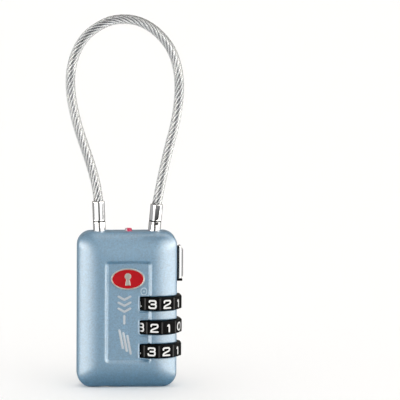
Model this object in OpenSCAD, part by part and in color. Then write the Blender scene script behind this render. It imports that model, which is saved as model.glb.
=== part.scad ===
// Luggage padlock with three combination dials and a plastic-covered wire-rope shackle.
// X points to the dial side, Y points to the back and Z points up.
// The origin is the middle of the flat bottom face.

/* [Body] */
// Width of the body
body_w = 31.3; // [31:0.1:31.8]
// Height of the body
body_h = 49.2; // [49:0.2:51]
// Thickness of the body over both crowns
body_t = 12.6; // [12.4:0.2:13.4]
// Width of the flat band around the edge
band_t = 4; // [3.6:0.2:4.2]
// Corner radius of the outline
corner_r = 4.5; // [4:0.1:5]
// How far the crown runs in from the edge
crown_run = 8; // [7:0.2:8.2]
// Wall thickness of both covers
wall = 1.3; // [1.2:0.05:1.4]

/* [Recessed panel] */
// Width of the panel
panel_w = 15; // [14:0.2:15.4]
// Height of the panel
panel_h = 32.8; // [32:0.2:33.4]
// Depth of the panel
panel_depth = 0.75; // [0.5:0.05:0.8]
// Sideways place of the panel
panel_x = 0.2; // [0:0.05:0.4]
// Height of the middle of the panel
panel_z = 24.2; // [24:0.1:24.8]

/* [Dials] */
// Sideways place of the dial axis
dial_x = 9.6; // [9.5:0.01:9.7]
// Radius over the dial ribs
dial_r = 7.86; // [7.8:0.01:7.92]
// Thickness of a dial
dial_t = 4.1; // [3.9:0.05:4.2]
// Height of the middle of the lowest dial
dial_z = 11.83; // [11.8:0.01:11.9]
// Distance between dials
dial_pitch = 7.5; // [7.46:0.01:7.54]
// Gap around a dial in its window
dial_gap = 0.25; // [0.2:0.05:0.35]
// Positions on a dial
digits = 10; // [10]

/* [Shackle] */
// Diameter over the plastic jacket
cable_d = 3; // [2.8:0.1:3]
// Diameter of the wire rope
rope_d = 2; // [1.8:0.1:2.2]
// Diameter of the posts and ferrules
post_d = 3.9; // [3.8:0.05:3.9]
// Sideways place of the fixed post at the top of the body
fixed_x = -8.65; // [-8.8:0.05:-8.5]
// Sideways place of the release plug at the top of the body
free_x = 8.55; // [8.5:0.05:8.65]
// Lean of the fixed post away from upright
fixed_lean = 2.3; // [2.3]
// Lean of the release plug away from upright
free_lean = 5.3; // [5.3]

/* [Slider] */
// Height of the button
button_h = 11.3; // [11:0.1:11.4]
// Height of the middle of the button
button_z = 38.9; // [38.9:0.1:39.1]
// Thickness of the button, front to back
button_w = 3.8; // [3.4:0.1:3.8]
// How far the button stands off the side of the body
button_out = 2.1; // [2:0.05:2.2]
// Travel of the button
slider_travel = 3; // [3]

/* [Key cylinder] */
// Sideways place of the key cylinder
key_x = -7; // [-7.2:0.1:-6.8]
// Diameter of the key cylinder
key_d = 5.6; // [5.2:0.1:5.6]

/* [Hidden] */
$fn = 64;

// Outline and crown
half_t = body_t / 2;
half_band = band_t / 2;
crown_rise = half_t - half_band;
crown_steps = 7;
corner_steps = 6;
panel_floor_y = half_t - panel_depth;
panel_r = 1.3;
in_w = body_w - 2 * wall;
in_h = body_h - 2 * wall;
in_half_t = half_t - wall;

// Dials: their windows, sleeves and the ribs between the digits
window_r = dial_r + dial_gap;
window_t = dial_t + 0.4;
rib_w = 0.84;
rib_h = 0.23;
pad_r = dial_r - rib_h;
digit_turn = 360 / digits;
sleeve_r = 3;
sleeve_down = 3.3;
sleeve_up = 2.6;
spindle_r = 1.4;
spindle_z0 = 7.4;
spindle_z1 = 35;
fin_r = 2.3;
fin_t = 1;

// Posts, ferrules and the latch groove, measured along each post from the top of the body
post_r = post_d / 2;
post_pin_r = 0.6;
post_pin_drop = 7.5;
post_pin_at = [fixed_x + post_pin_drop * tan(fixed_lean), body_h - post_pin_drop];
stud_out = 3;
fixed_top = 9.4;
free_top = 8.4;
crimp_depth = 4.4;
crimp_gap = 0.15;
fixed_depth = 11;
groove_r = 1.2;
groove_z0 = -7;
groove_z1 = -4.8;
plug_tip = -11.5;
bore_gap = 0.15;

// Latch: a bolt that slides in X, worked by a pin in the carriage's slanting slot
latch_travel = 2.1;
latch_z = 43.3;
nose_t = 1.4;
nose_reach = 1.4;
nose_x = free_x - (body_h - latch_z) * tan(free_lean) - nose_reach;
bolt_x0 = 1.4;
bolt_x1 = 4.6;
bolt_z0 = 40.2;
bolt_half_w = 1.5;
latch_pin = [3, 41.1];
latch_pin_r = 0.7;
latch_spring_x = -4.8;
latch_spring_z = 43;

// Slider carriage: a plate in front of the frame
plate_y0 = -3.9;
plate_y1 = -2.8;
plate_x0 = -1.9;
plate_x1 = 12.2;
plate_z0 = 33.2;
plate_z1 = 45.6;
neck_z0 = 35.5;
neck_z1 = 41;
neck_half_w = 1.1;
foot_t = 1.8;
foot_x = [7.7, 11.4];
foot_y1 = 1.7;
slider_spring_at = [-0.6, -3.5];
slider_spring_z0 = 22;

// Inner frame
frame_y0 = -2.7;
frame_y1 = 3.2;
frame_gap = 0.9;
bay_x0 = -0.3;
bay_z = [8.2, 29.8];
spindle_fit = 0.05;

// Alert indicator
indicator_x = 0.45;
indicator_r = 1.1;
indicator_out = 0.8;
indicator_collar_r = 1.7;
indicator_collar_z = [46.7, 47.4];
indicator_seat_z = 44.9;

// Key cylinder, wafers and cam
key_r = key_d / 2;
key_z0 = 0.15;
key_z1 = 14.2;
keyway = [1, 3.6];
keyway_top = 10.6;
wafer_size = [2.4, 4.8, 0.5];
wafer_z0 = 2.6;
wafer_pitch = 1.6;
wafers = 5;
cam_r = 4.4;
cam_t = 1.7;

// Rivets that close the covers, as [X, Z]
rivet_at = [[-12.4, 4.4], [12.9, 4.2], [-12.6, 45.2], [12.4, 45.6]];
rivet_r = 0.8;
boss_r = 1.3;
boss_reach = 2.1;

// Badge on the panel
badge_w = 10.6;
badge_h = 6.8;
badge_t = 0.5;
badge_at = [0, 34.7];

// Shackle cable route in the XZ plane, from the fixed ferrule over the loop to the free ferrule
cable_route = [
    [-8.85, 54.4], [-9, 58.4], [-9.8, 63.8], [-11.4, 69.8], [-13.4, 75.7], [-15.4, 81.7],
    [-16.9, 87.6], [-17.7, 92.5], [-17.9, 97.5], [-17.3, 101.9], [-15.8, 106.3], [-13.2, 110.3],
    [-9.7, 113.2], [-5.6, 115.2], [-1.3, 115.8], [3, 115.2], [7, 113.3], [10.5, 110.3],
    [13.3, 106.6], [15.1, 102.2], [16, 97.4], [16.1, 92.5], [15.6, 87], [14.6, 81.6],
    [13.1, 75.7], [11.7, 69.7], [10.5, 63.8], [9.45, 58.3], [9.05, 54.3]
];
cable_sides = 8;

// ---------- helpers ----------

// One closed ring of [x, z] points: a rounded rectangle w by h about a centre height
function rounded_ring(w, h, r, z_mid) = [
    for (corner = [0:3])
        for (step = [0:corner_steps])
            let (turn = 90 * corner + 90 * step / corner_steps)
            let (sx = (corner == 0 || corner == 3) ? 1 : -1)
            let (sz = corner < 2 ? 1 : -1)
            [sx * (w / 2 - r) + r * cos(turn), z_mid + sz * (h / 2 - r) + r * sin(turn)]
];

// Ring of the crown at an angle from 0 (the band) to 90 (the flat middle)
function crown_ring(w, h, r, phi) =
    let (inset = crown_run * (1 - cos(phi)))
    let (ring_r = r - (r - panel_r) * inset / crown_run)
    rounded_ring(w - 2 * inset, h - 2 * inset, ring_r, body_h / 2);

// Faces of the wall between rings of n points; from is the number of the first point
function wall_faces(rings, n, from) = [
    for (k = [0:rings - 2]) for (i = [0:n - 1])
        let (a = from + k * n + i)
        let (b = from + k * n + (i + 1) % n)
        each [[a, a + n, b], [b, a + n, b + n]]
];

// Faces that close the first and the last ring
function end_faces(rings, n) = [
    [for (i = [0:n - 1]) i],
    [for (i = [n - 1:-1:0]) (rings - 1) * n + i]
];

// Faces of a closed tube of rings, each with n points
function ring_faces(rings, n) = concat(end_faces(rings, n), wall_faces(rings, n, 0));

// Crowned half of a body: a straight start at y0, then the crown up to depth y1, toward -Y
module crowned_half(w, h, r, y0, y1) {
    rise = y1 - half_band;
    n = 4 * (corner_steps + 1);
    straight = y0 > -half_band ? 1 : 0;
    rings = concat(
        straight == 1 ? [[y0, crown_ring(w, h, r, 0)]] : [],
        [for (k = [0:crown_steps])
            let (phi = 90 * k / crown_steps)
            [-half_band - rise * sin(phi), crown_ring(w, h, r, phi)]]
    );
    points = [for (ring = rings) for (p = ring[1]) [p[0], ring[0], p[1]]];
    // The straight wall is made of flat four-sided faces, the crown of triangles
    polyhedron(points, concat(
        end_faces(len(rings), n),
        straight == 1 ? [for (i = [0:n - 1]) let (j = (i + 1) % n) [i, i + n, j + n, j]] : [],
        wall_faces(len(rings) - straight, n, straight * n)
    ));
}

// Rounded rectangle in the XZ plane, extruded in Y from y0 to y1
module slab(w, h, r, y0, y1) {
    translate([0, y1, 0])
        rotate([90, 0, 0])
            linear_extrude(y1 - y0) {
                square([w - 2 * r, h], center = true);
                square([w, h - 2 * r], center = true);
                for (sx = [-1, 1], sz = [-1, 1])
                    translate([sx * (w / 2 - r), sz * (h / 2 - r)])
                        circle(r);
            }
}

// Cylinder along Y at [x, z]
module rod_y(at, r, y0, y1) {
    translate([at[0], y1, at[1]])
        rotate([90, 0, 0])
            cylinder(h = y1 - y0, r = r);
}

// Cylinder along X at [y, z]
module rod_x(at, r, x0, x1) {
    translate([x0, at[0], at[1]])
        rotate([0, 90, 0])
            cylinder(h = x1 - x0, r = r);
}

// Box given by its lowest and highest corners
module box(low, high) {
    translate(low)
        cube(high - low);
}

// Slot with round ends along a line in the XZ plane, cut in Y from y0 to y1
module slanted_slot(from, to, r, y0, y1) {
    run = to - from;
    dir = atan2(run[1], run[0]);
    translate([0, y1, 0])
        rotate([90, 0, 0])
            linear_extrude(y1 - y0)
                polygon([
                    for (turn = [-90:15:90]) to + r * [cos(dir + turn), sin(dir + turn)],
                    for (turn = [90:15:270]) from + r * [cos(dir + turn), sin(dir + turn)]
                ]);
}

// Places a piece that is drawn along Z from the top of the body onto a leaning post
module on_post(x, lean) {
    translate([x, 0, body_h])
        rotate([0, lean, 0])
            children();
}

function unit(v) = v / norm(v);

// Points of rings of radius r along a path, given a direction across each point
function swept_rings(path, across, r, sides) =
    let (last = len(path) - 1)
    [
        for (k = [0:last])
            let (t = unit(path[min(k + 1, last)] - path[max(k - 1, 0)]))
            let (v = unit(cross(t, across[k])))
            let (u = cross(v, t))
            for (i = [0:sides - 1])
                path[k] + r * (cos(360 * i / sides) * u + sin(360 * i / sides) * v)
    ];

// Tube with flat sides along a path
module swept_tube(path, across, r, sides) {
    polyhedron(swept_rings(path, across, r, sides), ring_faces(len(path), sides));
}

// Hollow pipe with flat sides along a path
module swept_pipe(path, across, r_out, r_in, sides) {
    rings = len(path);
    inner = rings * sides;
    points = concat(swept_rings(path, across, r_out, sides), swept_rings(path, across, r_in, sides));
    ends = [
        for (i = [0:sides - 1])
            let (j = (i + 1) % sides)
            let (last = (rings - 1) * sides)
            each [[i, j, inner + j, inner + i],
                [last + j, last + i, inner + last + i, inner + last + j]]
    ];
    bore = [for (f = wall_faces(rings, sides, inner)) [f[2], f[1], f[0]]];
    polyhedron(points, concat(wall_faces(rings, sides, 0), bore, ends));
}

// Compression spring along Z from z0 to z1, with its end coils closed
module coil_spring(radius, wire, z0, z1, coils) {
    per_coil = 12;
    steps = per_coil * coils;
    rise = z1 - z0 - wire;
    path = [for (k = [0:steps])
        let (s = k / steps)
        let (eased = s + 0.11 * sin(720 * s) * -0.5)
        [radius * cos(360 * k / per_coil), radius * sin(360 * k / per_coil),
            z0 + wire / 2 + rise * eased]];
    across = [for (k = [0:steps]) [cos(360 * k / per_coil), sin(360 * k / per_coil), 0]];
    swept_tube(path, across, wire / 2, 6);
}

// The shackle cable's route in space, and a direction across it at each point
cable_path = [for (p = cable_route) [p[0], 0, p[1]]];
cable_across = [for (p = cable_route) [0, 1, 0]];

// ---------- cuts shared by both covers ----------

module dial_windows() {
    for (k = [0:2])
        translate([dial_x, 0, dial_z + k * dial_pitch - window_t / 2])
            cylinder(h = window_t, r = window_r);
}

module top_openings() {
    on_post(fixed_x, -fixed_lean)
        translate([0, 0, -2 * wall])
            cylinder(h = 4 * wall, r = post_r + bore_gap);
    on_post(free_x, free_lean)
        translate([0, 0, -2 * wall])
            cylinder(h = 4 * wall, r = post_r + bore_gap);
    translate([indicator_x, 0, body_h - 2 * wall])
        cylinder(h = 4 * wall, r = indicator_r + 0.1);
}

module bottom_opening() {
    translate([key_x, 0, -wall])
        cylinder(h = 3 * wall, r = key_r + bore_gap);
}

module slider_opening() {
    box([body_w / 2 - 3 * wall, -neck_half_w - 0.2, neck_z0 - slider_travel - 0.2],
        [body_w / 2 + wall, neck_half_w + 0.2, neck_z1 + 0.2]);
}

module cover_openings() {
    dial_windows();
    top_openings();
    bottom_opening();
    slider_opening();
}

// Recess in a crown, on the front side
module panel_recess() {
    translate([panel_x, 0, panel_z])
        slab(panel_w, panel_h, panel_r, -half_t - 1, -panel_floor_y);
}

// ---------- casing ----------

module front_cover() {
    color("#8FB0C8") {
        difference() {
            crowned_half(body_w, body_h, corner_r, half_band, half_t);
            crowned_half(in_w, in_h, corner_r - wall, half_band + 1, in_half_t);
            panel_recess();
            cover_openings();
        }
        for (at = rivet_at)
            difference() {
                rod_y(at, boss_r, -half_band - boss_reach, half_band);
                rod_y(at, rivet_r + 0.03, -half_band - 0.9, half_band + 1);
            }
    }
}

module back_cover() {
    color("#86A8C0") {
        difference() {
            mirror([0, 1, 0])
                difference() {
                    crowned_half(body_w, body_h, corner_r, -half_band, half_t);
                    crowned_half(in_w, in_h, corner_r - wall, -half_band + 1, in_half_t);
                    panel_recess();
                }
            cover_openings();
        }
        for (at = rivet_at)
            difference() {
                rod_y(at, boss_r, half_band, half_band + boss_reach);
                rod_y(at, rivet_r + 0.03, half_band - 1, half_band + 0.9);
            }
    }
}

module cover_rivets() {
    color("#B8BCC0")
        for (at = rivet_at)
            rod_y(at, rivet_r, -half_band - 0.8, half_band + 0.8);
}

module front_badge() {
    color("#B01018")
        translate([badge_at[0], -panel_floor_y, badge_at[1]])
            rotate([90, 0, 0])
                linear_extrude(badge_t)
                    polygon([for (k = [0:35]) [badge_w / 2 * cos(10 * k), badge_h / 2 * sin(10 * k)]]);
}

module inner_frame() {
    low = wall + 0.15;
    color("#9A9FA3")
        difference() {
            union() {
                translate([0, 0, body_h / 2]) {
                    slab(in_w - 2 * frame_gap, in_h - 2 * frame_gap, corner_r - wall, frame_y0, frame_y1);
                    // Thinner top and bottom that reach the covers' flat band
                    slab(in_w - 2 * frame_gap, in_h - 0.3, corner_r - wall, -half_band + 0.1, half_band - 0.1);
                }
                // Shelf that the slider spring stands on
                box([slider_spring_at[0] - 1.2, slider_spring_at[1] - 1, slider_spring_z0 - 1.6],
                    [slider_spring_at[0] + 1.1, frame_y0 + 0.5, slider_spring_z0]);
            }
            // Bay for the dials and the foot of the carriage
            box([bay_x0, frame_y0 - 1, bay_z[0]], [body_w / 2, frame_y1 + 1, bay_z[1]]);
            box([foot_x[0] - 0.4, frame_y0 - 1, bay_z[1] - 1], [body_w / 2, foot_y1 + 0.3, plate_z0 + foot_t + 0.3]);
            // Way for the neck of the button
            box([foot_x[1] - 0.5, frame_y0 - 1, neck_z0 - slider_travel - 0.2],
                [body_w / 2, neck_half_w + 0.3, neck_z1 + 0.2]);
            // Lower bearing of the spindle
            translate([dial_x, 0, low + 2])
                cylinder(h = bay_z[0], r = spindle_r + spindle_fit);
            // Sockets of both posts
            on_post(fixed_x, -fixed_lean)
                translate([0, 0, -fixed_depth])
                    cylinder(h = fixed_depth, r = post_r + 0.05);
            on_post(free_x, free_lean)
                translate([0, 0, plug_tip - 0.3])
                    cylinder(h = -plug_tip + 1, r = post_r + bore_gap);
            // Cross hole for the pin of the fixed post
            rod_y(post_pin_at, post_pin_r + 0.03, frame_y0 - 1, frame_y1 + 1);
            // Channel of the latch, the way of its pin and the bore of its spring
            box([bolt_x0 - latch_travel - 0.2, -bolt_half_w - 0.1, bolt_z0 - 0.15],
                [bolt_x1 + 0.2, bolt_half_w + 0.1, latch_z + nose_t / 2 + 0.15]);
            box([bolt_x1 - 1, -bolt_half_w - 0.1, latch_z - nose_t / 2 - 0.15],
                [nose_x + 0.5, bolt_half_w + 0.1, latch_z + nose_t / 2 + 0.15]);
            slanted_slot(latch_pin - [latch_travel, 0], latch_pin, latch_pin_r + 0.15, frame_y0 - 1, 0);
            rod_x([0, latch_spring_z], 1.15, latch_spring_x, bolt_x0);
            // Well of the alert indicator
            translate([indicator_x, 0, indicator_seat_z])
                cylinder(h = 5, r = indicator_collar_r + 0.2);
            // Bore of the key cylinder and the room around its cam
            translate([key_x, 0, 0])
                cylinder(h = key_z1 + 1, r = key_r + spindle_fit);
            translate([key_x, 0, key_z1 - 0.1])
                cylinder(h = cam_t + 0.4, r = cam_r + 0.3);
            // Lightening pocket
            box([-11.6, frame_y0 - 1, 18.5], [slider_spring_at[0] - 2.2, 1.6, 35]);
            for (at = rivet_at)
                rod_y(at, boss_r + 0.15, frame_y0 - 2, frame_y1 + 1);
        }
}

// ---------- dials ----------

module dial(k) {
    z = dial_z + k * dial_pitch;
    color("#1B1A1C")
        translate([dial_x, 0, z - dial_t / 2])
            difference() {
                union() {
                    rotate_extrude()
                        polygon([[sleeve_r + 0.02, 0], [pad_r - 0.3, 0], [pad_r, 0.3],
                            [pad_r, dial_t - 0.3], [pad_r - 0.3, dial_t], [sleeve_r + 0.02, dial_t]]);
                    for (i = [0:digits - 1])
                        rotate([0, 0, digit_turn * (i + 0.5)])
                            translate([pad_r - 0.6, -rib_w / 2, 0])
                                cube([rib_h + 0.57, rib_w, dial_t]);
                }
                // Keyway that locks the dial to its sleeve
                box([sleeve_r - 0.5, -0.65, -1], [sleeve_r + 0.75, 0.65, dial_t + 1]);
            }
}

module dial_sleeve(k) {
    z = dial_z + k * dial_pitch;
    color("#C9A25A")
        translate([dial_x, 0, z])
            difference() {
                union() {
                    translate([0, 0, -sleeve_down])
                        cylinder(h = sleeve_down + sleeve_up, r = sleeve_r);
                    translate([0, 0, -sleeve_down])
                        cylinder(h = 0.8, r = sleeve_r + 0.6);
                    box([sleeve_r - 0.3, -0.6, -dial_t / 2], [sleeve_r + 0.65, 0.6, dial_t / 2]);
                }
                translate([0, 0, -sleeve_down - 1])
                    cylinder(h = 10, r = spindle_r + spindle_fit);
                translate([0, 0, -1.8])
                    cylinder(h = 10, r = fin_r + 0.15);
                // Gate that the spindle's fin finds at the right digit
                box([1, -0.6, -sleeve_down - 1], [fin_r + 0.3, 0.6, 0]);
            }
}

module dial_spindle() {
    color("#C7CACD") {
        translate([dial_x, 0, spindle_z0])
            cylinder(h = spindle_z1 - spindle_z0, r = spindle_r);
        for (k = [0:2])
            translate([dial_x, 0, dial_z + k * dial_pitch + sleeve_up - 1.2])
                box([0, -0.4, 0], [fin_r, 0.4, fin_t]);
    }
}

module click_spring() {
    finger_x = 0.6;
    color("#BFA46A") {
        box([-0.2, -1.8, bay_z[0] + 0.2], [0.1, 1.8, bay_z[1] - 0.2]);
        for (k = [0:2])
            translate([finger_x, 0, dial_z + k * dial_pitch - 1.4])
                difference() {
                    cylinder(h = 2.8, r = 0.55);
                    cylinder(h = 7, r = 0.25, center = true);
                }
    }
}

// ---------- slider and latch ----------

module slider_button() {
    side = body_w / 2 + 0.2;
    out = body_w / 2 + button_out;
    z0 = button_z - button_h / 2;
    z1 = button_z + button_h / 2;
    color("#DCDEE0") {
        intersection() {
            translate([0, button_w / 2, 0])
                rotate([90, 0, 0])
                    linear_extrude(button_w)
                        polygon([[side, z0], [out - 0.7, z0 + 0.2], [out, z0 + 1], [out, z1 - 1.6],
                            [out - 0.9, z1], [side, z1]]);
            translate([side, 0, z0])
                cylinder(h = button_h, r = button_out - 0.2 + 0.001);
            box([side - 1, -button_w / 2, z0 - 1], [out + 1, button_w / 2, z1 + 1]);
        }
        box([plate_x1, -neck_half_w, neck_z0], [side + 0.4, neck_half_w, neck_z1]);
    }
}

module slider_carriage() {
    color("#A9ADB1")
        difference() {
            union() {
                box([plate_x0, plate_y0, plate_z0], [foot_x[1] - 1.1, plate_y1, plate_z1]);
                box([foot_x[1] - 1.2, plate_y0, neck_z0], [plate_x1, plate_y1, neck_z1]);
                box([foot_x[1] - 0.3, plate_y0, neck_z0], [plate_x1, neck_half_w, neck_z1]);
                box([foot_x[0], plate_y0, plate_z0], [foot_x[1], foot_y1, plate_z0 + foot_t]);
            }
            slanted_slot(latch_pin, latch_pin + [-latch_travel, slider_travel], latch_pin_r + 0.1,
                plate_y0 - 1, plate_y1 + 1);
            translate([dial_x, 0, plate_z0 - 1])
                cylinder(h = foot_t + 2, r = spindle_r + 0.02);
        }
}

module slider_spring() {
    color("#C9CDD1")
        translate([slider_spring_at[0], slider_spring_at[1], 0])
            coil_spring(0.6, 0.3, slider_spring_z0, plate_z0, 8);
}

module latch_bolt() {
    color("#B9BDC1") {
        box([bolt_x0, -bolt_half_w, bolt_z0], [bolt_x1, bolt_half_w, latch_z + nose_t / 2]);
        box([bolt_x1 - 0.1, -bolt_half_w, latch_z - nose_t / 2],
            [nose_x, bolt_half_w, latch_z + nose_t / 2]);
        rod_y(latch_pin, latch_pin_r, plate_y0, 0);
    }
}

module latch_spring() {
    color("#C9CDD1")
        translate([0, 0, latch_spring_z])
            rotate([0, 90, 0])
                coil_spring(0.75, 0.3, latch_spring_x, bolt_x0, 6);
}

// ---------- alert indicator ----------

module alert_indicator() {
    color("#C8193C")
        translate([indicator_x, 0, 0]) {
            translate([0, 0, indicator_collar_z[0]])
                cylinder(h = body_h + indicator_out - indicator_collar_z[0], r = indicator_r);
            translate([0, 0, indicator_collar_z[0]])
                cylinder(h = indicator_collar_z[1] - indicator_collar_z[0], r = indicator_collar_r);
        }
}

module indicator_spring() {
    color("#C9CDD1")
        translate([indicator_x, 0, 0])
            coil_spring(1.2, 0.25, indicator_seat_z, indicator_collar_z[0], 3);
}

// ---------- key cylinder ----------

module key_cylinder() {
    color("#C9CCCF")
        translate([key_x, 0, 0])
            difference() {
                translate([0, 0, key_z0])
                    cylinder(h = key_z1 - key_z0, r = key_r);
                box([-keyway[0] / 2, -keyway[1] / 2, -1], [keyway[0] / 2, keyway[1] / 2, keyway_top]);
                for (k = [0:wafers - 1])
                    translate([0, 0, wafer_z0 + k * wafer_pitch])
                        cube(wafer_size + [0.1, 0.1, 0.1], center = true);
            }
}

module key_wafers() {
    color("#C9A25A")
        translate([key_x, 0, 0])
            for (k = [0:wafers - 1])
                translate([0, 0, wafer_z0 + k * wafer_pitch])
                    difference() {
                        cube(wafer_size, center = true);
                        cube([keyway[0], 2.4 + 0.2 * (k % 3), 1], center = true);
                    }
}

module key_cam() {
    color("#A9ADB1")
        translate([key_x, 0, key_z1]) {
            cylinder(h = cam_t, r = 2.2);
            box([-cam_r + 0.4, -0.9, 0], [0, 0.9, cam_t]);
        }
}

// ---------- shackle ----------

// Crimped ferrule from the end of the stud to its rounded mouth
module ferrule(top) {
    mouth = 0.35;
    bore = cable_d / 2 + crimp_gap;
    rotate_extrude()
        polygon([[0, stud_out], [post_r - 0.12, stud_out], [post_r, stud_out + 0.12],
            [post_r, top - mouth], [post_r - mouth, top], [bore, top],
            [bore, top - crimp_depth], [0, top - crimp_depth]]);
}

module fixed_post() {
    color("#D6D8DA")
        difference() {
            on_post(fixed_x, -fixed_lean)
                translate([0, 0, -fixed_depth])
                    cylinder(h = fixed_depth + stud_out, r = post_r);
            rod_y(post_pin_at, post_pin_r + 0.03, -post_d, post_d);
        }
}

module fixed_ferrule() {
    color("#DCDEE0")
        on_post(fixed_x, -fixed_lean)
            ferrule(fixed_top);
}

module post_pin() {
    color("#B8BCC0")
        rod_y(post_pin_at, post_pin_r, frame_y0, frame_y1);
}

module release_plug() {
    color("#D6D8DA")
        on_post(free_x, free_lean)
            rotate_extrude()
                polygon([[0, plug_tip], [post_r - 0.35, plug_tip], [post_r, plug_tip + 0.35],
                    [groove_r, groove_z0], [groove_r, groove_z1], [post_r, groove_z1],
                    [post_r, stud_out], [0, stud_out]]);
}

module free_ferrule() {
    color("#DCDEE0")
        on_post(free_x, free_lean)
            ferrule(free_top);
}

module wire_rope() {
    color("#C4C8CC")
        swept_tube(cable_path, cable_across, rope_d / 2, cable_sides);
}

module cable_jacket() {
    color([0.9, 0.93, 0.95, 0.35])
        swept_pipe(cable_path, cable_across, cable_d / 2, rope_d / 2, cable_sides);
}

front_cover();
back_cover();
inner_frame();
cover_rivets();
front_badge();
dial(0);  // dial_1
dial(1);  // dial_2
dial(2);  // dial_3
dial_sleeve(0);  // dial_sleeve_1
dial_sleeve(1);  // dial_sleeve_2
dial_sleeve(2);  // dial_sleeve_3
dial_spindle();
click_spring();
slider_button();
slider_carriage();
slider_spring();
latch_bolt();
latch_spring();
alert_indicator();
indicator_spring();
key_cylinder();
key_wafers();
key_cam();
fixed_post();
fixed_ferrule();
post_pin();
release_plug();
free_ferrule();
wire_rope();
cable_jacket();
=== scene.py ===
import math

import bpy
import numpy as np
from mathutils import Matrix, Vector


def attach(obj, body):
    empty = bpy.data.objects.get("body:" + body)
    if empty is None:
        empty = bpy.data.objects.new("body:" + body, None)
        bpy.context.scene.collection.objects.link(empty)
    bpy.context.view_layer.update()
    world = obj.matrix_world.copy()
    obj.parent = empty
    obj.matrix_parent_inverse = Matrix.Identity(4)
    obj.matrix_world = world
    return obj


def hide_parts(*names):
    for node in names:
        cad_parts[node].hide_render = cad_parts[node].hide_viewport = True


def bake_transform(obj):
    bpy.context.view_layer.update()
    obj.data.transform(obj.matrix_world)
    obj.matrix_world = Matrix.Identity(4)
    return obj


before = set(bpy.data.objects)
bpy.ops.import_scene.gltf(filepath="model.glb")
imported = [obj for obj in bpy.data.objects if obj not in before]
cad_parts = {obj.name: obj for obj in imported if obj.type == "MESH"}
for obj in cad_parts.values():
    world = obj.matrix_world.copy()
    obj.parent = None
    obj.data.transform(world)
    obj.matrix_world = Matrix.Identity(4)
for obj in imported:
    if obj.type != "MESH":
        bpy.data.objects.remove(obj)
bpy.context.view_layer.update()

# Every size below is in millimetres, in the CAD frame: X to the dial side, Y to the back, Z up.
# Posts are (X at the casing's top, lean in degrees), and heights on a post start at that top.
MM = 0.001
BODY_W, BODY_H, HALF_T, HALF_BAND = 31.3, 49.2, 6.3, 2.0
CORNER_R, CROWN_RUN, WALL = 4.5, 8.0, 1.3
MID_Z = BODY_H / 2
PANEL_X, PANEL_Z, PANEL_W, PANEL_H, PANEL_R = 0.2, 24.2, 14.3, 32.1, 1.3
PANEL_DEPTH, PANEL_SLOPE = 0.75, 0.78
PARTING_Y, PARTING_GAP = 2.0, 0.03
DIAL_X, DIAL_R, PAD_R, DIAL_T = 9.6, 7.82, 7.6, 4.1
DIAL_ZS = (11.83, 19.33, 26.83)
WINDOW_R, WINDOW_T = 7.99, 4.36
WINDOW_X = DIAL_X - math.sqrt(WINDOW_R ** 2 - (HALF_T - PANEL_DEPTH) ** 2)
LIP_OUT, LIP_R, LIP_END = 0.3, 0.27, 6.6
SLEEVE_R = 3.02
POST_R, POST_EDGE, POST_GAP = 1.95, 0.14, 0.07
FIXED_POST, FREE_POST = (-8.65, -2.3), (8.55, 5.3)
STUD_LOW, PLUG_LOW, STUD_TOP, SEAM_LOW, SEAM_HIGH = -11, -11.5, 2.9, 2.82, 3.36
FERRULE_LOW, FIXED_TOP, FREE_TOP = 3.2, 9.4, 8.4
LATCH_GROOVE = (-7, -4.8, 1.2)
INDICATOR_X, INDICATOR_R, INDICATOR_TOP = 0.45, 1.1, BODY_H + 0.8
KEY_X, KEY_HOLE_R, KEY_HOLE_TOP = -7.0, 2.95, 6
SLOT_Z, SLOT_HALF_W, SLOT_HALF_H = 36.75, 1.3, 4.45
CAP_IN, CAP_OUT, CAP_LOW, CAP_HIGH = BODY_W / 2 + 0.62, BODY_W / 2 + 2.09, 33.95, 44.55
BADGE_Z, BADGE_W, BADGE_H, BADGE_T, BADGE_RIM = 34.7, 10.6, 6.8, 0.5, 0.42
CABLE_D, JACKET_GAP, ROPE_D, STRANDS, STRAND_R = 3.0, 0.03, 2.0, 6, 0.3
STRAND_LAY, WIRE_LAY = 11.4, 4.6
ROUTE = (
    (-8.85, 54.4), (-9, 58.4), (-9.8, 63.8), (-11.4, 69.8), (-13.4, 75.7), (-15.4, 81.7),
    (-16.9, 87.6), (-17.7, 92.5), (-17.9, 97.5), (-17.3, 101.9), (-15.8, 106.3), (-13.2, 110.3),
    (-9.7, 113.2), (-5.6, 115.2), (-1.3, 115.8), (3, 115.2), (7, 113.3), (10.5, 110.3),
    (13.3, 106.6), (15.1, 102.2), (16, 97.4), (16.1, 92.5), (15.6, 87), (14.6, 81.6),
    (13.1, 75.7), (11.7, 69.7), (10.5, 63.8), (9.45, 58.3), (9.05, 54.3),
)


# ---- camera

def place_camera():
    """A long lens a little to the fixed-post side of the front, and a little above the object."""
    turn, rise, roll = (math.radians(angle) for angle in (4.5, 7.75, 0.4))
    away = Vector((-math.sin(turn) * math.cos(rise), -math.cos(turn) * math.cos(rise), math.sin(rise)))
    level = Vector((math.cos(turn), -math.sin(turn), 0))
    raised = away.cross(level)
    right = level * math.cos(roll) + raised * math.sin(roll)
    up = raised * math.cos(roll) - level * math.sin(roll)
    lens, sensor, field = 400.0, 36.0, 0.12579
    aim_right, aim_up = 0.02308, 0.03397
    aim = Vector((0, 0, MID_Z * MM)) + right * aim_right + up * aim_up
    data = bpy.data.cameras.new("camera")
    data.lens, data.sensor_width = lens, sensor
    data.clip_start, data.clip_end = 0.05, 50
    camera = bpy.data.objects.new("camera", data)
    bpy.context.scene.collection.objects.link(camera)
    camera.matrix_world = Matrix.Translation(aim + away * (field * lens / sensor)) @ Matrix(
        (right, up, away)).transposed().to_4x4()
    bpy.context.scene.camera = camera


place_camera()


# ---- node helpers

def feed(slot, value):
    """Gives an input its value, or a link from another node's output."""
    if isinstance(value, bpy.types.NodeSocket):
        slot.id_data.links.new(value, slot)
    else:
        slot.default_value = value


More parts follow.
